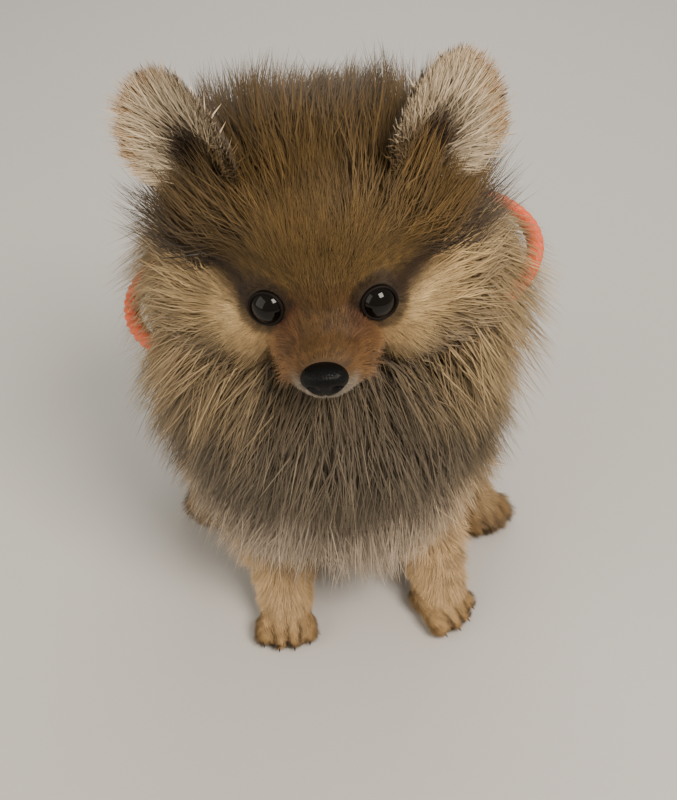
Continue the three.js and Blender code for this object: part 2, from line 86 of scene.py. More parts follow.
def head_to_maker(p):
    return EYE_LINE + HEAD_TURN @ Vector(p)


BETWEEN_EYES = (box_middle("eye_left") + box_middle("eye_right")) / 2
ORIGIN = BETWEEN_EYES - MM * head_to_maker((0, -EYE_FORWARD, 0))


def place(p):
    """A point of the maker's frame, in metres in the row's frame."""
    return ORIGIN + MM * Vector(p)


# Camera: 329 mm above the floor, looking 41.2 degrees down, fitted to the photo's floor planks
CAMERA_AT = (0, -274, 329)
CAMERA_DOWN = radians(41.2)
camera_data = bpy.data.cameras.new("camera")
camera_data.sensor_width = 36
camera_data.lens = 930 / 800 * 36
camera_data.clip_start = 0.01
camera = bpy.data.objects.new("camera", camera_data)
camera.location = place(CAMERA_AT)
camera.rotation_euler = (pi / 2 - CAMERA_DOWN, 0, 0)
bpy.context.scene.collection.objects.link(camera)
bpy.context.scene.camera = camera


# Small tools for pieces
def select_only(*objects):
    bpy.ops.object.select_all(action="DESELECT")
    for thing in objects:
        thing.select_set(True)
    bpy.context.view_layer.objects.active = objects[0]


def settle(thing):
    """Puts a piece's place into its mesh."""
    select_only(thing)
    bpy.ops.object.transform_apply(location=True, rotation=True, scale=True)
    return thing


def hold(thing, *nodes, slot=None):
    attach(thing, "root")
    if nodes:
        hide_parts(*nodes)
    return thing


def egg(centre, radii, turn=None, segments=32, rings=20):
    """An ellipsoid at a place of the maker's frame."""
    bpy.ops.object.select_all(action="DESELECT")
    bpy.ops.mesh.primitive_uv_sphere_add(segments=segments, ring_count=rings, radius=1,
                                         location=place(centre))
    piece = bpy.context.active_object
    piece.scale = MM * Vector(radii)
    if turn is not None:
        piece.rotation_euler = turn.to_euler()
    return settle(piece)


def named(piece, name, look=None):
    """Names a piece and its mesh, and gives it its material."""
    piece.name = piece.data.name = name
    if look:
        piece.data.materials.append(look)
    return piece


def linked(thing):
    bpy.context.scene.collection.objects.link(thing)
    return thing


def joined(things, name):
    select_only(*things)
    bpy.ops.object.join()
    return named(bpy.context.active_object, name)


def finished(piece, kind, **settings):
    modifier = piece.modifiers.new(kind.lower(), kind)
    for key, value in settings.items():
        setattr(modifier, key, value)
    select_only(piece)
    bpy.ops.object.modifier_apply(modifier=modifier.name)
    return piece


def smooth(piece):
    select_only(piece)
    bpy.ops.object.shade_smooth()
    return piece


# Body forms: each part of the animal is a few egg shapes, without its coat. Head forms are in the
# head's own frame: skull, brow, cheeks, eye sockets, bridge, muzzle, its tip, and the chin.
HEAD_EGGS = [
    ((0, 28, 5), (33, 34, 31)),
    ((0, 10, 6), (25, 15.5, 17)),
    ((20, 12, -9), (17, 18, 15)),
    ((-20, 12, -9), (17, 18, 15)),
    ((14.7, 3.3, -1.6), (10.7, 10.7, 10.7)),
    ((-14.7, 3.3, -1.6), (10.7, 10.7, 10.7)),
    ((0, 3, 1), (11, 12.5, 9.5)),
    ((0, -2, -10), (17, 14, 11)),
    ((0, -16, -13), (11.5, 11.5, 8.6)),
    ((0, -13, -18.5), (8.5, 10, 4.5)),
]


def chain(points, radii, count=14):
    """Balls set close along a curve through a few points: a leg, a neck or a tail."""
    balls = []
    for i in range(count):
        s = i / (count - 1) * (len(points) - 1)
        k = min(int(s), len(points) - 2)
        part = s - k
        before, here, there = points[max(k - 1, 0)], points[k], points[k + 1]
        after = points[min(k + 2, len(points) - 1)]
        at = Vector()
        for axis in range(3):
            a, b, c, d = before[axis], here[axis], there[axis], after[axis]
            at[axis] = 0.5 * (2 * b + (c - a) * part + (2 * a - 5 * b + 4 * c - d) * part**2
                              + (3 * b - a - 3 * c + d) * part**3)
        girth = radii[k] * (1 - part) + radii[k + 1] * part
        balls.append((tuple(at), (girth,) * 3))
    return balls


def ways(heading):
    """The way a paw points, and the way across it."""
    return Vector((sin(heading), -cos(heading), 0)), Vector((cos(heading), sin(heading), 0))


def toe_reach(size, toe):
    """How far a toe goes: the middle two reach further than the outer two."""
    return size * (0.95 - 0.1 * toe * toe)


def paw_eggs(at, heading, size):
    forward, across = ways(heading)
    eggs = [(at - 2 * forward + Vector((0, 0, 6.5)), (size * 0.72,) * 2 + (6.5,))]
    for toe in TOES:
        far = toe_reach(size, toe)
        for reach, rise, girth in TOE_BALLS:
            aside = across * toe * size * (0.34 + 0.18 * reach)
            middle = at + aside + forward * far * reach + Vector((0, 0, rise))
            eggs.append((middle, (girth,) * 3))
    return eggs


def fore_eggs(side):
    at, heading = FORE_PAWS[side]
    shoulder = (side * 25, -4, 80)
    elbow = (side * 29, -2, 52)
    wrist = (at.x + side * 0.5, at.y + 8, 17)
    leg = chain([shoulder, elbow, wrist, (at.x, at.y + 3, 7)], [17, 13, 10, 9.5])
    return leg + paw_eggs(at, heading, FORE_PAW_SIZE)


def hind_eggs(side):
    at, heading = HIND_PAWS[side]
    forward = ways(heading)[0]
    hock = at - 30 * forward + Vector((0, 0, 11))
    thigh = [((side * 42, 54, 37), (19, 27, 29)), ((side * 47, 38, 22), (15, 19, 16))]
    foot = chain([hock, (hock + at) / 2 + Vector((0, 0, 4)), at + Vector((0, 0, 7))], [9, 8.5, 8])
    return thigh + foot + paw_eggs(at, heading, HIND_PAW_SIZE)


PARTS = {
    "neck": [((-3, 12, 139), (47, 29, 27)), ((10, 2, 136), (36, 26, 21)),
             ((-3, -5, 118), (41, 28, 31)), ((-3, -12, 100), (39, 27, 29))],
    "torso": [((-2, -6, 80), (42, 31, 31)), ((-2, 16, 80), (48, 35, 38)), ((-1, 48, 68), (47, 35, 39)),
              ((0, 64, 40), (46, 33, 40))],
    "fore_left": fore_eggs(1),
    "fore_right": fore_eggs(-1),
    "hind_left": hind_eggs(1),
    "hind_right": hind_eggs(-1),
    "tail": chain(TAIL_POINTS, [9, 8, 7, 6, 5], 16),
}


# Skin: the forms are joined, fused into one surface and smoothed
VOXEL = 1.3
balls = [egg(head_to_maker(c), r, HEAD_TURN) for c, r in HEAD_EGGS]
balls += [egg(c, r, segments=20, rings=12) for part in PARTS.values() for c, r in part]
skin = joined(balls, "skin")
finished(skin, "REMESH", mode="VOXEL", voxel_size=VOXEL * MM)
finished(skin, "SMOOTH", factor=0.6, iterations=9)


# Eye sockets and the line of the mouth are pressed into the skin, and its feet are levelled on the floor
TURN = np.array(HEAD_TURN)
ORIGIN_ARRAY = np.array(ORIGIN)


def to_maker(points):
    return (points - ORIGIN_ARRAY) / MM


def to_head(points):
    return (points - np.array(EYE_LINE)) @ TURN


def from_head(points):
    return points @ TURN.T + np.array(EYE_LINE)


def step(low, high, value):
    """Rises smoothly from nothing at low to one at high, also where high is the smaller number."""
    t = np.clip((value - low) / (high - low), 0, 1)
    return t * t * (3 - 2 * t)


def read(mesh, what="co"):
    values = np.empty(len(mesh.vertices) * 3)
    mesh.vertices.foreach_get(what, values)
    return values.reshape(-1, 3)


def move_to(mesh, points):
    mesh.vertices.foreach_set("co", (points * MM + ORIGIN_ARRAY).ravel())
    mesh.update()


def mouth_gap(h):
    """Distance in the head's frame from the line of the mouth."""
    s = np.clip(h[:, 0] / MOUTH_HALF, -1, 1)
    height = MOUTH_HEIGHT - MOUTH_BOW * np.cos(s * pi) + MOUTH_BOW * np.abs(s)
    along = np.stack([MOUTH_HALF * s, MOUTH_FRONT + MOUTH_DEEP * s * s, height], 1)
    return np.linalg.norm(h - along, axis=1)


SOCKET_ROOM = 0.5
SOCKET_PUSH = 1.6
LIP_DEPTH = 0.9
LIP_SOFT = 1.2
FACE_REACH = 40
SOLE_HEIGHT = 0.3


eye_centres = [np.array((side * EYE_SPAN / 2, -EYE_FORWARD, 0)) for side in (1, -1)]
points = to_maker(read(skin.data))
heads = to_head(points)
for centre in eye_centres:
    offset = heads - centre
    far = np.linalg.norm(offset, axis=1, keepdims=True)
    room = EYE_RADIUS + SOCKET_ROOM
    push = np.where((far < room) & (offset[:, 1:2] < 3), room - far, 0)
    heads = heads + np.concatenate([np.zeros_like(push), push * SOCKET_PUSH, np.zeros_like(push)], 1)
heads[:, 1] += LIP_DEPTH * np.exp(-(mouth_gap(heads) / LIP_SOFT) ** 2)
near_face = np.linalg.norm(heads - np.array((0, -5, -5)), axis=1) < FACE_REACH
points = np.where(near_face[:, None], from_head(heads), points)
points[:, 2] = np.maximum(points[:, 2], SOLE_HEIGHT)
move_to(skin.data, points)
smooth(skin)


# Lie, length and lift of the coat, each given part by part and mixed where parts meet
def unit(v):
    return v / np.maximum(np.linalg.norm(v, axis=1, keepdims=True), 1e-9)


def distance_to(points, eggs):
    """Rough distance from each point to the nearest egg's surface, less than nothing inside it."""
    best = np.full(len(points), 1e9)
    for centre, radii in eggs:
        q = (points - np.array(centre)) / np.array(radii)
        near = np.linalg.norm(q, axis=1)
        slope = np.linalg.norm(q / np.array(radii), axis=1) + 1e-9
        best = np.minimum(best, near * (near - 1) / slope)
    return best


def head_coat(h):
    x, y, z = h.T
    lie = h - np.array((0, -26, -10))
    cheek = step(12, 26, np.abs(x)) * step(4, -10, z)
    lie = lie + cheek[:, None] * np.stack([np.sign(x) * 10, 4 + 0 * x, -14 + 0 * x], 1)
    jowl = step(8, 14, np.abs(x)) * step(-5, -12, z) * step(20, 2, y)
    lie = lie + jowl[:, None] * np.stack([np.sign(x) * 10, -8 + 0 * x, -18 + 0 * x], 1)
    crown = step(8, 30, z) * step(0, 20, y)
    lie = lie + crown[:, None] * np.stack([0.2 * x, 2 + 0 * x, 26 + 0 * x], 1)
    away = np.full(len(h), 1e9)
    for centre in eye_centres:
        offset = h - centre
        eye = np.linalg.norm(offset, axis=1)
        away = np.minimum(away, eye)
        lie = lie + (30 * np.exp(-(eye / 12) ** 2))[:, None] * unit(offset)
    nose = np.linalg.norm(h - np.array(NOSE), axis=1)
    back = step(2, 36, y + 0.45 * np.abs(x))
    bridge = step(14, 6, np.abs(x)) * step(8, -2, y)
    muzzle_side = step(5, 11, np.abs(x)) * step(7, 14, nose)
    beside_ear = crown * step(12, 24, np.abs(x)) * step(40, 30, np.abs(x))
    length = 2.8 + 5.5 * step(8, 28, nose) + (27 - 11 * crown) * back
    length = length + 10 * jowl + 4 * muzzle_side + 7 * beside_ear
    length = np.minimum(length, 2.2 + 0.5 * np.maximum(away - 6, 0) + 26 * step(13, 28, away))
    lift = 0.16 + 0.52 * step(0, 32, y + 0.4 * np.abs(x))
    lift = lift + 0.12 * jowl + 0.1 * muzzle_side + 0.1 * beside_ear + 0.12 * bridge
    return lie, length, lift


def neck_coat(p):
    x, y, z = p.T
    lie = np.stack([x * 0.45, np.where(y > 25, 12, -4), -20 + 0 * x], 1)
    flank = step(14, 36, np.abs(x)) * step(92, 116, z)
    left_shoulder = step(20, 44, x) * step(116, 136, z)
    return lie, 38 + 5 * flank - left_shoulder, 0.42 + 0.26 * flank - 0.04 * left_shoulder


def torso_coat(p):
    x, y, z = p.T
    front = step(6, -10, y)[:, None]
    lie = front * np.stack([x * 0.25, -5 + 0 * x, -25 + 0 * x], 1)
    lie = lie + (1 - front) * np.stack([x * 0.35, 14 + 0 * x, -20 + 0 * x], 1)
    flank = step(14, 40, np.abs(x))
    length = 38 + 4 * flank - 18 * step(34, 8, z)
    return lie, length, 0.4 + 0.22 * flank * step(20, 50, z)


def paw_flow(p, at, heading):
    foot = step(18, 8, p[:, 2])[:, None]
    forward = np.array((sin(heading), -cos(heading), -0.15))
    return foot, forward


def fore_coat(p, side):
    at, heading = FORE_PAWS[side]
    foot, forward = paw_flow(p, at, heading)
    lie = (1 - foot) * np.array((0, 0.05, -1.0)) + foot * forward
    behind = step(-2, 12, p[:, 1] - at.y - 4 - 0.2 * p[:, 2])
    length = 8 + 5 * step(20, 60, p[:, 2]) + 9 * behind * step(14, 30, p[:, 2]) - 3.6 * foot[:, 0]
    return lie, length, 0.25 + 0 * length


def hind_coat(p, side):
    at, heading = HIND_PAWS[side]
    foot, forward = paw_flow(p, at, heading)
    lie = (1 - foot) * np.array((side * 0.25, 0.6, -1.0)) + foot * forward
    length = 7 + 19 * step(14, 40, p[:, 2])
    return lie, length, 0.3 + 0 * length


tail_line = np.array([c for c, r in PARTS["tail"]])


def tail_coat(p):
    nearest = np.argmin(np.linalg.norm(p[:, None, :] - tail_line[None], axis=2), axis=1)
    ahead = tail_line[np.minimum(nearest + 1, len(tail_line) - 1)] - tail_line[np.maximum(nearest - 1, 0)]
    outward = unit(p - tail_line[nearest])
    lie = unit(ahead) + outward * 0.5
    return lie, 26 + 11 * nearest / len(tail_line), 0.42 + 0 * p[:, 0]


PART_BLEND = 4.5  # millimetres over which the coats of two parts mix
COATS = {
    "neck": neck_coat,
    "torso": torso_coat,
    "fore_left": lambda p: fore_coat(p, 1),
    "fore_right": lambda p: fore_coat(p, -1),
    "hind_left": lambda p: hind_coat(p, 1),
    "hind_right": lambda p: hind_coat(p, -1),
    "tail": tail_coat,
}


def part_shares(points):
    """How much each point belongs to the head and to each other part, adding up to one."""
    heads = to_head(points)
    far = [distance_to(heads, HEAD_EGGS)] + [distance_to(points, PARTS[name]) for name in COATS]
    far = np.stack(far, 1)
    share = np.exp(-(far - far.min(1, keepdims=True)) / PART_BLEND)
    return share / share.sum(1, keepdims=True)


def coat_of(points, share):
    """Lie, length and lift of the coat at each point, mixed by the parts' shares."""
    heads = to_head(points)
    lie, length, lift = head_coat(heads)
    lies = [unit(lie) @ TURN.T]
    lengths, lifts = [length], [lift]
    for coat in COATS.values():
        lie, length, lift = coat(points)
        lies.append(unit(lie))
        lengths.append(length)
        lifts.append(lift)
    lie = sum(share[:, i:i + 1] * lies[i] for i in range(len(lies)))
    length = sum(share[:, i] * lengths[i] for i in range(len(lies)))
    lift = sum(share[:, i] * lifts[i] for i in range(len(lies)))
    return unit(lie), length, lift


# Colours of the coat, as sRGB values by place
def linear(code):
    value = np.array([int(code[i:i + 2], 16) for i in (1, 3, 5)]) / 255
    return np.where(value <= 0.04045, value / 12.92, ((value + 0.055) / 1.055) ** 2.4)


FOREHEAD = linear("#634d29")
CROWN_DARK = linear("#43310f")
CHEEK = linear("#c9aa78")
BRIDGE = linear("#5d4425")
TEAR = linear("#3c1a07")
BROW = linear("#2c1f12")
MUZZLE = linear("#9a7145")
CHIN = linear("#8b7f6f")
CHEST = linear("#5b5142")
CHEST_PALE = linear("#c2b09b")
SIDE = linear("#94805f")
LEG = linear("#cdab7d")
FOOT = linear("#b8935f")
SABLE = linear("#6b5234")
EAR_IN = linear("#d6c2a3")
EAR_RIM = linear("#a0733f")


def mix(a, b, share):
    return a + (b - a) * share[:, None]


def head_colour(h):
    x, y, z = h.T
    colour = np.broadcast_to(FOREHEAD, h.shape)
    colour = mix(colour, CROWN_DARK, 0.5 * step(16, 42, z + 0.2 * y))
    line = z - (1 + 0.4 * (np.abs(x) - 20))  # height above a slant from the eye to the ear
    below = step(1, -6, line) * step(12, 21, np.abs(x))
    colour = mix(colour, CHEEK, below)
    stripe = np.exp(-((line - 1) / 4.2) ** 2) * step(18, 24, np.abs(x))
    colour = mix(colour, BROW, 0.92 * stripe)
    far_cheek = below * step(30, 38, np.abs(x) - 0.5 * z) * step(-4, -14, z)
    colour = mix(colour, CHEST, 0.6 * far_cheek)
    dark = step(26, 36, np.abs(x)) * step(-2, 6, line) * step(0, 20, y)
    colour = mix(colour, BROW * 1.4, 0.6 * dark)
    muzzle = step(15, 9, np.abs(x)) * step(4, -8, y) * step(8, 0, z)
    colour = mix(colour, BRIDGE, muzzle)
    side_muzzle = step(5, 11, np.abs(x)) * step(-3, -10, y) * step(2, -6, z)
    colour = mix(colour, MUZZLE, 0.7 * side_muzzle)
    tear = np.exp(-(((np.abs(x) - 10) / 3.2) ** 2 + ((z + 3.5) / 5) ** 2)) * step(8, 0, y)
    colour = mix(colour, TEAR, 0.9 * tear)
    round_eye = np.minimum(*[np.linalg.norm(h - c, axis=1) for c in eye_centres])
    colour = mix(colour, BROW, 0.8 * step(9.2, 7.2, round_eye))
    nose = np.linalg.norm((h - np.array(NOSE)) * np.array((1, 0.6, 1)), axis=1)
    rim = step(9.6, 8.2, nose) * step(-9, -13, z)
    colour = mix(colour, CHIN, np.maximum(rim, step(-14.5, -17, z) * step(-2, -12, y)))
    return colour


def body_colour(p):
    x, y, z = p.T
    side = step(31, 46, np.abs(x) + 0.16 * x) * step(25, 0, y)
    colour = np.broadcast_to(CHEST, p.shape)
    colour = mix(colour, SIDE, 0.8 * side)
    colour = mix(colour, CHEEK, 0.4 * step(110, 138, z) * step(14, 32, np.abs(x)))
    colour = mix(colour, CHEST_PALE, 0.85 * step(100, 72, z) * step(5, -15, y))
    return mix(colour, SABLE, step(12, 34, y))


def toe_groove_shade(points):
    """One in the grooves between the toes, falling to nothing on them: where painted shade darkens the
    grooves.
    """
    groove = np.zeros(len(points))
    for paws, size in ((FORE_PAWS, FORE_PAW_SIZE), (HIND_PAWS, HIND_PAW_SIZE)):
        for at, heading in paws.values():
            ahead = (points[:, 0] - at.x) * sin(heading) - (points[:, 1] - at.y) * cos(heading)
            aside = (points[:, 0] - at.x) * cos(heading) + (points[:, 1] - at.y) * sin(heading)
            here = step(2, 7, ahead) * step(19, 17, ahead)
            here = here * step(13, 9, points[:, 2]) * step(9, 8, np.abs(aside))
            groove = np.maximum(groove, here * np.cos(pi * aside / (size * 0.45)) ** 8)
    return groove


def colour_of(points, share):
    legs = mix(np.broadcast_to(LEG, points.shape), FOOT, step(16, 4, points[:, 2]))
    # The grooves between the toes are painted dark: painted shade between the toes
    legs = mix(legs, BROW, 0.85 * toe_groove_shade(points))
    thigh = mix(legs * 0.72, SIDE, step(22, 44, points[:, 2]))
    body = body_colour(points)
    tail = np.broadcast_to(SABLE * 1.25, points.shape)
    each = [head_colour(to_head(points)), body, body, legs, legs, thigh, thigh, tail]
    return sum(share[:, i:i + 1] * each[i] for i in range(len(each)))


# Tufts: each is a thin closed blade of three sides, rooted just under the skin. Its tip is drawn
# towards its neighbours', so the hair lies in locks.
rng = np.random.default_rng(SEED)


def uneven(low, high, count):
    """Random factors between two values, one for each tuft."""
    return low + (high - low) * rng.random(count)


def wave(points, scale, turn=0.0):
    """A soft pattern in space between -1 and 1."""
    a, b, c = (points / scale).T
    return (np.sin(a * 1.7 + turn + 1.3 * np.sin(b * 1.1 + turn))
            + np.sin(b * 2.1 - turn + 1.7 * np.sin(c * 1.3))
            + np.sin(c * 1.9 + 2 * turn + 1.1 * np.sin(a * 0.9))) / 3


def scatter(mesh_points, mesh_normals, triangles, density, count):
    """Random places on a surface, as thick as density says at each vertex."""
    corners = mesh_points[triangles]
    area = np.linalg.norm(np.cross(corners[:, 1] - corners[:, 0], corners[:, 2] - corners[:, 0]), axis=1)
    weight = area * density[triangles].mean(1)
    which = rng.choice(len(triangles), count, p=weight / weight.sum())
    u, v = rng.random((2, count))
    flip = u + v > 1
    u, v = np.where(flip, 1 - u, u), np.where(flip, 1 - v, v)
    shares = np.stack([1 - u - v, u, v], 1)[:, :, None]
    roots = (corners[which] * shares).sum(1)
    normals = unit((mesh_normals[triangles[which]] * shares).sum(1))
    return roots, normals


def gathered(roots, tips, every, pull):
    """Draws tips together into locks, one for about every so many tufts."""
    seeds = rng.choice(len(roots), max(len(roots) // every, 1), replace=False)
    tree = kdtree.KDTree(len(seeds))
    for i, s in enumerate(seeds):
        tree.insert(roots[s], i)
    tree.balance()
    own = np.array([tree.find(r)[1] for r in roots])
    return tips + (tips[seeds][own] - tips) * pull[:, None], own


def blades(roots, normals, lie, length, lift, every, pull, droop):
    """Root, middle and tip of each tuft, and the number of the lock that it belongs to."""
    lie = unit(lie - normals * (lie * normals).sum(1, keepdims=True))
    sway = 0.3 * wave(roots, 9.0)[:, None] + 0.22 * rng.standard_normal((len(roots), 1))
    lie = unit(lie + np.cross(normals, lie) * sway)
    lift, droop = lift[:, None], droop[:, None]
    start = unit(lie * (1 - lift) + normals * lift + 0.1 * rng.standard_normal(roots.shape))
    end = unit(lie * (1 - 0.45 * lift) + normals * (0.45 * lift) + np.array((0, 0, -1)) * droop)
    tips = roots + start * (0.55 * length)[:, None] + end * (0.5 * length)[:, None]
    tips, own = gathered(roots, tips, every, pull)
    bend = tips - roots - (start + end) * (0.5 * length)[:, None]
    middle = roots + start * (0.45 * length)[:, None] + 0.25 * bend
    curl = 0.1 * length * (wave(roots, 4.0, 3.0) + 0.6 * rng.standard_normal(len(roots)))
    middle = middle + np.cross(normals, lie) * curl[:, None]
    return own, [roots - normals * ROOT_DEPTH, middle, tips]


ROOT_DEPTH = 0.5
RING_WIDTHS = (0.9, 0.95)
HALF_WIDE = 0.5
HALF_THICK = 0.2
RING = [(cos(a), sin(a)) for a in (pi / 2, pi / 2 + 2 * pi / 3, pi / 2 - 2 * pi / 3)]


def paint_coat(mesh, colours):
    """Gives each vertex its colour, which the hair and skin materials read."""
    layer = mesh.color_attributes.new("coat", "FLOAT_COLOR", "POINT")
    layer.data.foreach_set("color", np.concatenate([colours, np.ones((len(colours), 1))], 1).ravel())


def tuft_mesh(name, line, normals, width, colours, uv, softness=0.72):
    """One mesh of closed blades along given centre lines. The last point is the tip."""
    count = len(width)
    rings = len(line) - 1
    vertices, shading, paint = [], [], []
    for k in range(rings):
        ahead = unit(line[k + 1] - line[max(k - 1, 0)])
        across = unit(np.cross(ahead, normals))
        over = np.cross(across, ahead)
        girth = width * RING_WIDTHS[k]
        for a, b in RING:
            outward = across * a + over * b
            vertices.append(line[k] + across * (a * girth * HALF_WIDE)[:, None]
                            + over * (b * girth * HALF_THICK)[:, None])
            shading.append(unit(outward * (1 - softness) + normals * softness))
            paint.append(colours[k])
    vertices.append(line[-1])
    shading.append(normals)
    paint.append(colours[-1])
    each = len(vertices)
    vertices = np.stack(vertices, 1).reshape(-1, 3)
    shading = np.stack(shading, 1).reshape(-1, 3)
    paint = np.stack(paint, 1).reshape(-1, 3)
    faces = [(0, 1, 2)]
    for k in range(rings - 1):
        for j in range(3):
            a, b = 3 * k + j, 3 * k + (j + 1) % 3
            faces += [(b, a, a + 3), (b, a + 3, b + 3)]
    tip = 3 * rings
    faces += [(tip - 3 + (j + 1) % 3, tip - 3 + j, tip) for j in range(3)]
    faces = (np.array(faces)[None] + each * np.arange(count)[:, None, None]).reshape(-1, 3)
    mesh = bpy.data.meshes.new(name)
    mesh.vertices.add(len(vertices))
    mesh.vertices.foreach_set("co", (vertices * MM + ORIGIN_ARRAY).ravel())
    mesh.loops.add(len(faces) * 3)
    mesh.loops.foreach_set("vertex_index", faces.ravel())
    mesh.polygons.add(len(faces))
    mesh.polygons.foreach_set("loop_start", np.arange(0, len(faces) * 3, 3))
    mesh.polygons.foreach_set("loop_total", np.full(len(faces), 3))
    mesh.update(calc_edges=True)
    paint_coat(mesh, paint)
    corner_uv = np.array([(0.1 + 0.4 * (i % 3), i / each) for i in range(each)]) * 0.003
    uvs = (uv[:, None, :] + corner_uv[None]).reshape(-1, 2)
    mesh.uv_layers.new(name="OFBake").data.foreach_set("uv", uvs[faces.ravel()].ravel())
    mesh.polygons.foreach_set("use_smooth", np.ones(len(faces), dtype=bool))
    mesh.normals_split_custom_set_from_vertices(shading)
    return linked(bpy.data.objects.new(name, mesh))


def skin_chart(points, share):
    """A flat chart of the skin: each part has a tile of its own, laid out by turn and height."""
    part = share.argmax(1)
    chart = np.zeros((len(points), 2))
    for i in range(share.shape[1]):
        mine = part == i
        if not mine.any():
            continue
        local = points[mine] - points[mine].mean(0)
        turn = np.arctan2(local[:, 0], -local[:, 1]) / (2 * pi) + 0.5
        height = (local[:, 2] - local[:, 2].min()) / (np.ptp(local[:, 2]) + 1e-6)
        tile = np.array((i % 4, i // 4))
        chart[mine] = (tile + 0.02 + 0.95 * np.stack([turn, height], 1)) * np.array((0.25, 0.5)) * 0.99
    return chart


# Materials
def add(tree, kind, links=(), **settings):
    """A node with its links. A setting that starts with _ is an input, with underscores for spaces."""
    node = tree.nodes.new(kind)
    for key, value in settings.items():
        if key.startswith("_"):
            node.inputs[key[1:].replace("_", " ")].default_value = value
        else:
            setattr(node, key, value)
    for source, target in links:
        tree.links.new(source, node.inputs[target])
    return node


def material(name, tint=None, **inputs):
    """A material with the shader's inputs given, with underscores for spaces."""
    made = bpy.data.materials.new(name)
    made.use_nodes = True
    tree = made.node_tree
    shader = tree.nodes["Principled BSDF"]
    if tint:
        shader.inputs["Base Color"].default_value = (*linear(tint), 1)
    for key, value in inputs.items():
        shader.inputs[key.replace("_", " ")].default_value = value
    return made, tree, shader


def painted(tree, shader):
    """Takes the colour from the coat's paint on the mesh."""
    paint = add(tree, "ShaderNodeAttribute", attribute_name="coat")
    tree.links.new(paint.outputs["Color"], shader.inputs["Base Color"])


def pattern(tree, kind, **settings):
    """A pattern laid out in the object's own space."""
    where = add(tree, "ShaderNodeTexCoord")
    return add(tree, kind, [(where.outputs["Object"], "Vector")], **settings)


def bumped(tree, shader, height, strength, distance, invert=False):
    bump = add(tree, "ShaderNodeBump", [(height, "Height")], invert=invert,
               _Strength=strength, _Distance=distance)
    tree.links.new(bump.outputs["Normal"], shader.inputs["Normal"])


def hair_material():
    """Dog hair: keratin with a soft broken shine, coloured along each tuft."""
    made, tree, shader = material("pomeranian_hair", Roughness=0.62, IOR=1.5, Specular_IOR_Level=0.28,
                                  Sheen_Weight=0.12, Sheen_Roughness=0.5)
    painted(tree, shader)
    return made


def skin_material():
    """Skin under the coat: dull, with the coat's own markings painted darker as painted shade under the
    hair.
    """
    made, tree, shader = material("skin_under_coat", Roughness=0.8)
    painted(tree, shader)
    grain = pattern(tree, "ShaderNodeTexNoise", _Scale=900.0, _Detail=4.0)
    bumped(tree, shader, grain.outputs["Fac"], 0.4, 0.0004)
    return made


def eye_material():
    """Dark brown eye behind a wet cornea: near black, with a sharp reflection."""
    return material("wet_dark_eye", "#0a0604", Roughness=0.05, IOR=1.38, Specular_IOR_Level=0.4)[0]


def nose_material():
    """Nose leather: black, with pebbles about 0.6 mm across and a moist shine."""
    made, tree, shader = material("nose_leather", "#080808", Roughness=0.42, Specular_IOR_Level=0.16)
    pebbles = pattern(tree, "ShaderNodeTexVoronoi", _Scale=1400.0)
    bumped(tree, shader, pebbles.outputs["Distance"], 0.35, 0.0003, invert=True)
    return made


def rope_material():
    """Orange polypropylene rope: bright, with fine yarns about 0.4 mm apart and a slight plastic shine."""
    made, tree, shader = material("orange_rope", Roughness=0.5)
    yarn = pattern(tree, "ShaderNodeTexNoise", _Scale=1500.0, _Detail=2.0)
    tint = add(tree, "ShaderNodeValToRGB", [(yarn.outputs["Fac"], "Fac")])
    tint.color_ramp.elements[0].color = (*linear("#d8481c"), 1)
    tint.color_ramp.elements[1].color = (*linear("#ff7a4a"), 1)
    tree.links.new(tint.outputs["Color"], shader.inputs["Base Color"])
    bumped(tree, shader, yarn.outputs["Fac"], 0.5, 0.0004)
    return made


def lid_material():
    """Lid rims: bare dark skin, slightly moist."""
    return material("lid_skin", "#120b07", Roughness=0.6, Specular_IOR_Level=0.15)[0]


def claw_material():
    """Claw horn: dark brown, smooth, with a dull shine."""
    return material("claw_horn", "#2b2018", Roughness=0.4)[0]


hair = hair_material()
horn_material = claw_material()
under_coat = skin_material()
eye_gloss = eye_material()
leather = nose_material()
orange = rope_material()
lid_skin = lid_material()


# Skin colour and the tufts on it
def triangles_of(mesh):
    mesh.calc_loop_triangles()
    corners = np.empty(len(mesh.loop_triangles) * 3, dtype=np.int32)
    mesh.loop_triangles.foreach_get("vertices", corners)
    return corners.reshape(-1, 3)


# The skin takes the coat's colours darkened: painted shade under the hair
SKIN_PAINTED_SHADE = 0.6
mesh = skin.data
triangles = triangles_of(mesh)
skin_points = to_maker(read(mesh))
skin_normals = read(mesh, "normal")
skin_share = part_shares(skin_points)
paint_coat(mesh, colour_of(skin_points, skin_share) * SKIN_PAINTED_SHADE)
mesh.materials.clear()
mesh.materials.append(under_coat)

skin_length = coat_of(skin_points, skin_share)[1]
skin_heads = to_head(skin_points)
eye_gap = np.minimum(*[np.linalg.norm(skin_heads - c, axis=1) for c in eye_centres])
nose_gap = np.linalg.norm((skin_heads - np.array(NOSE)) / np.array((7.6, 4.9, 5.9)), axis=1)
sole = skin_points[:, 2] < 1.2
bald = (eye_gap < 6.5) | (nose_gap < 1.02) | sole
density = np.where(skin_length > 10, 1.0, 12 / np.clip(skin_length, 2.5, 10))
density = np.where(bald, 0, density)
density[(skin_share[:, 0] > 0.5) & (skin_heads[:, 1] < 20)] *= 1.5

# Hair over LONG_FROM millimetres is drawn with a middle ring, shorter hair without
LONG_TUFTS = 88000
SHORT_TUFTS = 120000
TUFTS = LONG_TUFTS + SHORT_TUFTS
LONG_FROM = 17
long_here = skin_length > LONG_FROM
long_roots, long_normals = scatter(skin_points, skin_normals, triangles, density * long_here, LONG_TUFTS)
short_roots, short_normals = scatter(skin_points, skin_normals, triangles, density * ~long_here, SHORT_TUFTS)
roots = np.concatenate([long_roots, short_roots])
normals = np.concatenate([long_normals, short_normals])
share = part_shares(roots)
lie, length, lift = coat_of(roots, share)
colour = colour_of(roots, share)

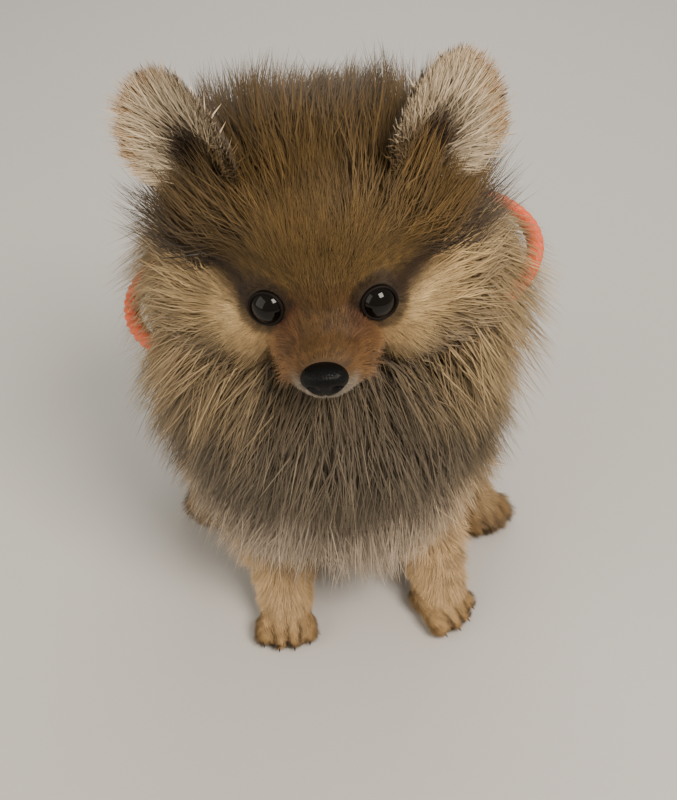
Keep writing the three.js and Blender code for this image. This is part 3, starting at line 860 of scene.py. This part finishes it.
TUFTS_A_LOCK = 24
HAIR_ABOVE_FLOOR = 0.5
length = length * uneven(0.78, 1.2, TUFTS) * (1 + 0.12 * wave(roots, 14.0, 2.0))
lift = np.clip(lift * uneven(0.75, 1.25, TUFTS), 0.05, 0.9)
width = np.clip(0.3 + 0.0065 * length, 0.34, 0.54) * uneven(0.7, 1.3, TUFTS)
pull = np.clip(0.25 + 0.014 * length, 0, 0.72) * np.sqrt(rng.random(TUFTS))
droop = 0.35 * step(18, 34, length) * (1 - 0.9 * share[:, 0])
own, line = blades(roots, normals, lie, length, lift, TUFTS_A_LOCK, pull, droop)
for points in line:
    points[:, 2] = np.maximum(points[:, 2], HAIR_ABOVE_FLOOR)

lock_tone = 1 + 0.17 * rng.standard_normal(own.max() + 1)[own] + 0.1 * wave(roots, 5.0, 1.0)
tone = np.clip(lock_tone * (1 + 0.17 * rng.standard_normal(TUFTS)), 0.5, 1.8)[:, None]
long_hair = step(10, 26, length)[:, None]
dark_tip = (rng.random(TUFTS) < 0.32)[:, None] * long_hair
pale = (rng.random(TUFTS) < 0.18 - 0.14 * share[:, 0])[:, None] * long_hair
tip_colour = colour * tone * (1.18 - 0.62 * dark_tip + 0.75 * pale)
# Each tuft is painted darker towards its root, more so in long hair: painted shade deep in the coat
painted_shade_root_colour = colour * tone * (0.56 - 0.12 * long_hair)
middle_colour = colour * tone * 0.92
colours = [painted_shade_root_colour, middle_colour, tip_colour]
chart = skin_chart(roots, share)

# The coat is split into pieces by part of the body, each of at most so many triangles
MOST_TRIANGLES = 195000
ALL_RINGS = (0, 1, 2)
ENDS_ONLY = (0, 2)
part = share.argmax(1)
is_long = np.arange(TUFTS) < LONG_TUFTS
for name, here, rings, slot in (
    ("head", is_long & (part == 0), ALL_RINGS, "sable_coat"),
    ("ruff", is_long & (part == 1), ALL_RINGS, "grey_coat"),
    ("body", is_long & (part == 2), ALL_RINGS, "grey_coat"),
    ("tail_and_legs", is_long & (part > 2), ALL_RINGS, "tan_coat"),
    ("short", ~is_long, ENDS_ONLY, "tan_coat"),
):
    mine = np.flatnonzero(here)
    tuft_triangles = 6 * len(rings) - 8
    count = -(-len(mine) * tuft_triangles // MOST_TRIANGLES)
    for n in range(count):
        chosen = mine[n::count]
        piece = tuft_mesh(f"coat_{name}_{n + 1}", [line[k][chosen] for k in rings], normals[chosen],
                          width[chosen], [colours[k][chosen] for k in rings], chart[chosen])
        piece.data.materials.append(hair)
        hold(piece, slot=slot)

hold(skin, "head", "neck", "torso", "tail", "foreleg_left", "foreleg_right", "hind_foot_left",
     "hind_foot_right", "thigh_left", "thigh_right", slot="sable_coat")


# Ears: cupped shells of skin, with long pale hair inside and short hair behind
def ear_frame(side):
    base = Vector((side * EAR_BASE.x, EAR_BASE.y, EAR_BASE.z))
    up = Vector((side * EAR_TIP.x, EAR_TIP.y, EAR_TIP.z)) - base
    tall = up.length
    up.normalize()
    face = Vector((side * 0.42, -1, 0.1)).normalized()
    across = up.cross(face).normalized()
    out = across.cross(up).normalized()
    return *(np.array(v) for v in (base, up, across, out)), tall


def ear_place(h, side):
    """How far points lie across and up the ear, each from -1 to 1 on its shell."""
    base, up, across, out, tall = ear_frame(side)
    local = h - base
    return (local @ across) / EAR_HALF, (local @ up - tall / 2 + 2 * EAR_SUNK) / (tall / 2 - EAR_SUNK)


def ear_shell(side):
    base, up, across, out, tall = ear_frame(side)
    bpy.ops.object.select_all(action="DESELECT")
    bpy.ops.mesh.primitive_uv_sphere_add(segments=48, ring_count=32, radius=1)
    shell = bpy.context.active_object
    ball = read(shell.data)
    s, t, depth = ball[:, 0], ball[:, 1], ball[:, 2]
    rise = (t + 1) / 2
    cup = EAR_CUP * s * s * (1 - 0.3 * rise) - 2.5 * rise
    h = base + up * (rise * (tall - 2 * EAR_SUNK) - EAR_SUNK)[:, None]
    h = h + across * (s * EAR_HALF * (0.84 + 0.16 * np.sin(pi * rise)))[:, None]
    h = h + out * (cup + depth * EAR_HALF_THICK)[:, None]
    move_to(shell.data, from_head(h))
    return smooth(shell)


EAR_TUFTS = 6500
EAR_TUFTS_A_LOCK = 12
EAR_TUFT_WIDE = 0.48
for name, side in (("left", 1), ("right", -1)):
    shell = named(ear_shell(side), f"ear_skin_{name}", under_coat)
    up, across, out = ear_frame(side)[1:4]
    ear = shell.data
    ear_points = to_maker(read(ear))
    rim = np.hypot(*ear_place(to_head(ear_points), side))
    # The ear skin is painted dark in its middle: painted shade in the ear's hollow, with pale skin further
    # out and a tan rim
    shade = mix(np.broadcast_to(BROW, ear_points.shape), EAR_IN, step(0.3, 0.6, rim))
    shade = mix(shade, EAR_RIM, step(0.82, 0.98, rim))
    # The ear skin's colours are darkened too: painted shade under the hair
    paint_coat(ear, shade * SKIN_PAINTED_SHADE)
    e_roots, e_normals = scatter(ear_points, read(ear, "normal"), triangles_of(ear),
                                 np.ones(len(ear_points)), EAR_TUFTS)
    h = to_head(e_roots)
    sideways, upward = ear_place(h, side)
    rim = np.sqrt(sideways**2 + upward**2)
    inside = (e_normals @ TURN) @ out > 0.1
    hollow = np.sqrt((sideways + 0.1 * side) ** 2 + (0.8 * (upward + 0.35)) ** 2)
    lie_in = unit(1.3 * sideways[:, None] * across + (upward + 1.0)[:, None] * up)
    lie_out = unit(up + 0.5 * sideways[:, None] * across)
    lie_e = np.where(inside[:, None], lie_in, lie_out) @ TURN.T
    long_in = np.clip((1.0 - rim) * EAR_HAIR_WIDE + 2, 3.5, 14) * step(0.1, 0.45, hollow) + 2.5
    long_e = np.where(inside, long_in, 6) * uneven(0.7, 1.3, EAR_TUFTS)
    lift_e = np.where(inside, 0.2, 0.22) * uneven(0.6, 1.4, EAR_TUFTS)
    # The ear's hair is painted dark in the hollow: painted shade in the recess, with cream hair round it
    tint = mix(np.broadcast_to(BROW * 1.6, h.shape), EAR_IN, step(0.26, 0.52, hollow))
    edge = step(0.5, 0.85, rim) * step(-0.4, 0.3, upward) * step(-0.5, 0.4, side * sideways)
    tint = mix(tint, EAR_RIM, edge)
    buried = step(0.3, -0.3, upward) * step(-0.1, -0.5, side * sideways)
    tint = mix(tint, FOREHEAD, buried)
    tint = np.where(inside[:, None], tint, FOREHEAD * 0.9)
    tint = tint * (1 + 0.2 * rng.standard_normal((EAR_TUFTS, 1))).clip(0.5, 1.6)
    wide_e = EAR_TUFT_WIDE * uneven(0.7, 1.3, EAR_TUFTS)
    line_e = blades(e_roots, e_normals, lie_e, long_e, lift_e, EAR_TUFTS_A_LOCK,
                    uneven(0, 0.4, EAR_TUFTS), 0 * long_e)[1]
    charts = np.stack([(sideways / 1.3 + 1) / 2 * 0.5 + 0.5 * ~inside, (upward / 1.3 + 1) / 2], 1)
    # The ear's tufts are painted darker at the root: painted shade inside the hair
    fringe = tuft_mesh(f"ear_coat_{name}", line_e, e_normals, wide_e,
                       [tint * 0.6, tint * 0.95, tint * 1.15], 0.02 + 0.95 * charts.clip(0, 1))
    fringe.data.materials.append(hair)
    hold(fringe, slot="cream_coat")
    hold(shell, f"ear_{name}", slot="cream_coat")


# Lids: a soft rim of skin round the front of each eye
LID_FORWARD = 3.3
LID_INSET = 0.9
LID_THICK = 0.6
LID_SHAPE = (1.04, 0.97, 1.0)


def lids(side):
    lean = Matrix.Rotation(side * EYE_LEAN, 4, "Z")
    turn = HEAD_TURN.to_4x4() @ lean @ Matrix.Rotation(pi / 2 - EYE_LIFT, 4, "X")
    out = Vector((side * sin(EYE_LEAN), -cos(EYE_LEAN), sin(EYE_LIFT))) * LID_FORWARD
    centre = head_to_maker(Vector((side * EYE_SPAN / 2, -EYE_FORWARD, 0)) + out)
    bpy.ops.object.select_all(action="DESELECT")
    bpy.ops.mesh.primitive_torus_add(major_radius=(EYE_RADIUS - LID_INSET) * MM, minor_radius=LID_THICK * MM,
                                     major_segments=48, minor_segments=14)
    ring = bpy.context.active_object
    ring.matrix_world = Matrix.Translation(place(centre)) @ turn
    ring.scale = LID_SHAPE
    return settle(ring)


for name, side in (("left", 1), ("right", -1)):
    rim = named(smooth(lids(side)), f"lids_{name}", lid_skin)
    hold(rim, slot="sable_coat")
    middle = head_to_maker((side * EYE_SPAN / 2, -EYE_FORWARD, 0))
    ball = egg(middle, (EYE_RADIUS,) * 3, segments=48, rings=32)
    ball = named(smooth(ball), f"eyeball_{name}", eye_gloss)
    hold(ball, f"eye_{name}", slot="eye_gloss")


# Claws: a small horn at the end of each toe
CLAW_LONG = 5
CLAW_ROOT = 1.05
CLAW_TIP = 0.12
CLAW_DROP = 0.55


def claw(at, heading, size, toe):
    forward, across = ways(heading)
    far = toe_reach(size, toe)
    middle = at + across * toe * size * 0.5 + forward * (far * 0.92 + 3.6) + Vector((0, 0, 3.2))
    bpy.ops.object.select_all(action="DESELECT")
    bpy.ops.mesh.primitive_cone_add(vertices=12, radius1=CLAW_ROOT * MM, radius2=CLAW_TIP * MM,
                                    depth=CLAW_LONG * MM, location=place(middle))
    horn = bpy.context.active_object
    horn.rotation_euler = (forward - Vector((0, 0, CLAW_DROP))).to_track_quat("Z", "Y").to_euler()
    return settle(horn)


horns = [claw(at, heading, size, toe)
         for paws, size in ((FORE_PAWS, FORE_PAW_SIZE), (HIND_PAWS, HIND_PAW_SIZE))
         for at, heading in paws.values()
         for toe in TOES]
claws = smooth(joined(horns, "claws"))
claws.data.materials.append(horn_material)
hold(claws, slot="tan_coat")


# Nose: a broad leather pad with comma-shaped nostrils and a groove down its front
NOSE_RADII = (7.4, 4.8, 5.7)


def nose_pad():
    pad = egg(head_to_maker(NOSE), NOSE_RADII, HEAD_TURN, segments=64, rings=48)
    h = to_head(to_maker(read(pad.data))) - np.array(NOSE)
    x, y, z = h.T
    front = step(0, -3, y)
    for side in (-1, 1):
        off = x - side * 3.7
        hole = np.exp(-((off / 1.5) ** 2 + (z + 0.8 + 0.25 * side * off) ** 2))
        slit = np.exp(-(((x - side * 5.6) / 1.6) ** 2 + ((z + 1.9) / 0.55) ** 2))
        y = y + front * (2.6 * hole + 1.5 * slit)
    groove = np.exp(-(x / 0.55) ** 2) * step(3.2, -1.5, z)
    y = y + front * 0.7 * groove
    z = np.where(z > 3.4, 3.4 + (z - 3.4) * 0.55, z)
    x = x * (1 - 0.14 * step(1, -5, z))
    h = np.stack([x, y, z], 1) + np.array(NOSE)
    move_to(pad.data, from_head(h))
    return smooth(pad)


nose = named(nose_pad(), "nose_pad", leather)
hold(nose, "nose", slot="nose_leather")


# Rope collar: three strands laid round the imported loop
STRAND_STEPS = 320
STRAND_SIDES = 10
STRAND_RADIUS = 1.62
LAY_RADIUS = 1.55
LAYS = 26


def loop_point(turn):
    x = ROPE_HALF[0] * np.cos(turn)
    y = ROPE_HALF[1] * np.sin(turn)
    centre = np.array(ROPE_CENTRE)
    return np.stack([centre[0] + x, centre[1] + y, centre[2] + ROPE_RISE[0] * x + ROPE_RISE[1] * y], 1)


def strand(phase):
    turn = np.linspace(0, 2 * pi, STRAND_STEPS, endpoint=False)
    middle = loop_point(turn)
    ahead = unit(np.roll(middle, -1, 0) - np.roll(middle, 1, 0))
    side = unit(np.cross(ahead, np.array((0, 0, 1.0))))
    over = np.cross(side, ahead)
    lay = LAYS * turn + phase
    centre = middle + LAY_RADIUS * (side * np.cos(lay)[:, None] + over * np.sin(lay)[:, None])
    ahead = unit(np.roll(centre, -1, 0) - np.roll(centre, 1, 0))
    side = unit(np.cross(ahead, over))
    over = np.cross(side, ahead)
    around = np.linspace(0, 2 * pi, STRAND_SIDES, endpoint=False)
    rings = centre[:, None] + STRAND_RADIUS * (side[:, None] * np.cos(around)[None, :, None]
                                               + over[:, None] * np.sin(around)[None, :, None])
    return rings.reshape(-1, 3)


def rope():
    points, faces = [], []
    for n in range(3):
        first = n * STRAND_STEPS * STRAND_SIDES
        points.append(strand(2 * pi * n / 3))
        for i in range(STRAND_STEPS):
            here = first + i * STRAND_SIDES
            ahead = first + (i + 1) % STRAND_STEPS * STRAND_SIDES
            for j in range(STRAND_SIDES):
                k = (j + 1) % STRAND_SIDES
                faces.append((here + j, ahead + j, ahead + k, here + k))
    mesh = bpy.data.meshes.new("rope_collar")
    mesh.from_pydata((np.concatenate(points) * MM + ORIGIN_ARRAY).tolist(), [], faces)
    return smooth(linked(bpy.data.objects.new("rope_collar", mesh)))


collar = rope()
collar.data.materials.append(orange)
hold(collar, "collar", slot="rope")


# Floor and light
def floor():
    bpy.ops.object.select_all(action="DESELECT")
    bpy.ops.mesh.primitive_plane_add(size=6, location=(0, 0, -0.0005))
    piece = bpy.context.active_object
    piece.name = "floor"
    piece.data.materials.append(material("pale_floor", "#c9c6c1", Roughness=0.7)[0])


LAMP_TARGET = (0, 0, 0.1)


def lamp(name, at, size, power, tint="#ffffff"):
    data = bpy.data.lights.new(name, "AREA")
    data.size = size
    data.energy = power
    data.color = tuple(linear(tint))
    light = bpy.data.objects.new(name, data)
    light.location = at
    light.rotation_euler = (Vector(LAMP_TARGET) - Vector(at)).to_track_quat("-Z", "Y").to_euler()
    linked(light)


floor()
lamp("key", (0.45, -0.6, 0.95), 0.45, 14.0, "#fff4e8")
lamp("fill", (-0.9, -0.5, 0.6), 1.0, 6.0, "#fff6ea")
lamp("back", (0.1, 0.9, 0.8), 0.8, 5.0)
world = bpy.data.worlds.new("studio")
world.use_nodes = True
world.node_tree.nodes["Background"].inputs["Color"].default_value = (*linear("#e8e1d3"), 1)
world.node_tree.nodes["Background"].inputs["Strength"].default_value = 0.55
bpy.context.scene.world = world
